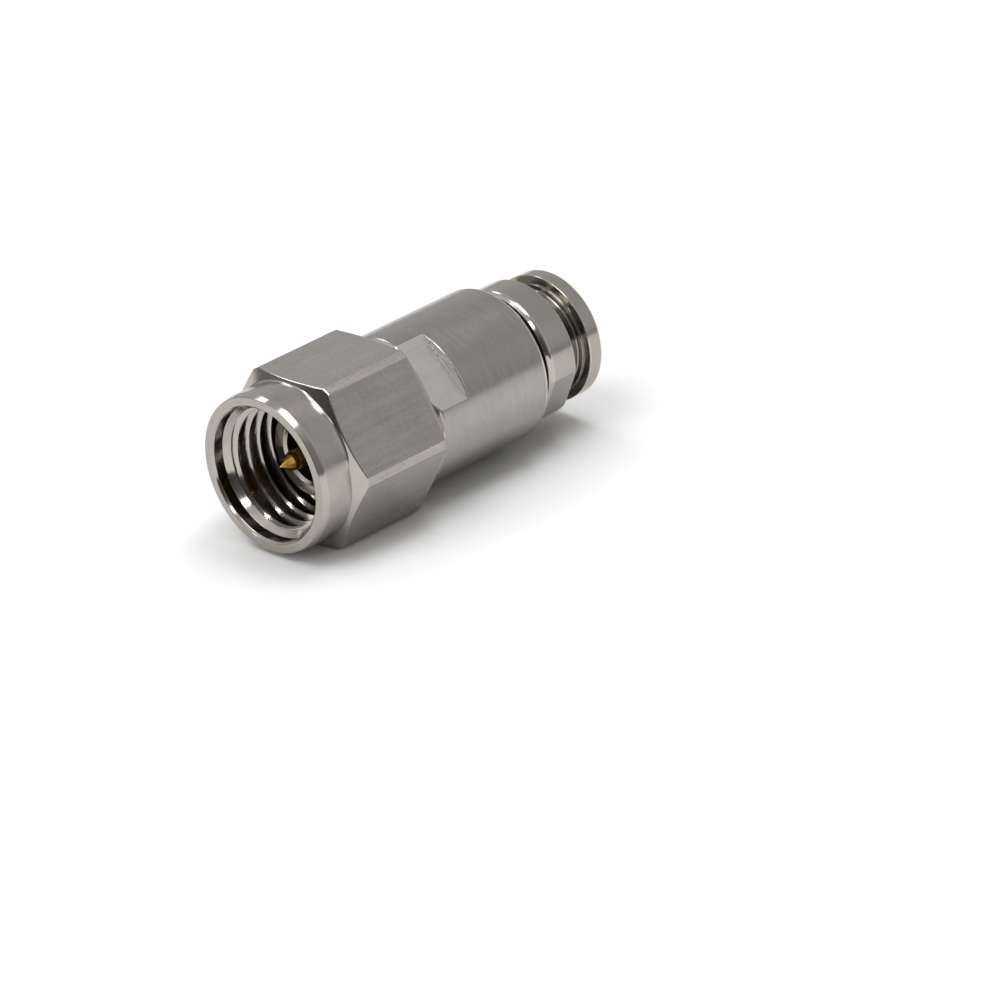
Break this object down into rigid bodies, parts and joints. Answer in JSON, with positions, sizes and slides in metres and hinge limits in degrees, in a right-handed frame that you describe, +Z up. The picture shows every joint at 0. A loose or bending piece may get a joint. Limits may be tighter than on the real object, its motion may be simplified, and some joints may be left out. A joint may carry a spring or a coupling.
{
  "type": "coaxial connector",
  "caption": "Male coaxial cable connector: free-turning hexagonal coupling nut, gilt centre pin, turned body with wrench flats and a screwed cable clamp nut.",
  "frame": {"origin": "on the connector axis at the mating plane, the front face of the outer contact", "axes": "+X along the connector axis from the mating end to the cable end, +Z up with the hexagon on a flat"},
  "size_m": [0.0192, 0.009, 0.008],
  "materials": {
    "nut_steel": "fine ground flats, satin collar",
    "body_steel": "turned and brushed around",
    "clamp_steel": "fine turned",
    "contact_steel": "polished",
    "spring_alloy": "plain",
    "gilt_contact": "gilt",
    "gilt_brass": "gilt",
    "gasket_rubber": "matt",
    "clamp_rubber": "matt",
    "bead_plastic": "matt",
    "white_plastic": "matt"
  },
  "bodies": {
    "body": {"body_shell": "body_steel", "outer_contact": "contact_steel", "interface_gasket": "gasket_rubber", "support_bead": "bead_plastic", "bead_bushing": "contact_steel", "centre_pin": "gilt_contact", "contact_socket": "gilt_contact", "rear_insulator": "white_plastic", "cable_ferrule": "gilt_brass", "clamp_gasket": "clamp_rubber"},
    "retainer": {"retaining_ring": "spring_alloy"},
    "coupling": {"coupling_nut": "nut_steel"},
    "clamp_carrier": {"thrust_washer": "contact_steel"},
    "clamp": {"clamp_nut": "clamp_steel", "seal_ring": "gasket_rubber"}
  },
  "joints": [
    {"name": "nut_play", "type": "slide", "parent": "body", "child": "retainer", "axis": [1, 0, 0], "range_m": [-0.0001, 0.0002]},
    {"name": "nut_spin", "type": "hinge", "parent": "retainer", "child": "coupling", "pos_m": [0.0015, 0, 0], "axis": [1, 0, 0], "continuous": true},
    {"name": "clamp_advance", "type": "slide", "parent": "body", "child": "clamp_carrier", "axis": [1, 0, 0], "range_m": [0, 0.0014]},
    {"name": "clamp_turn", "type": "hinge", "parent": "clamp_carrier", "child": "clamp", "pos_m": [0.0132, 0, 0], "axis": [1, 0, 0], "range_deg": [0, 1008]}
  ],
  "couplings": [
    {"joint": "clamp_turn", "follows": "clamp_advance", "rad_per_m": 12566}
  ]
}
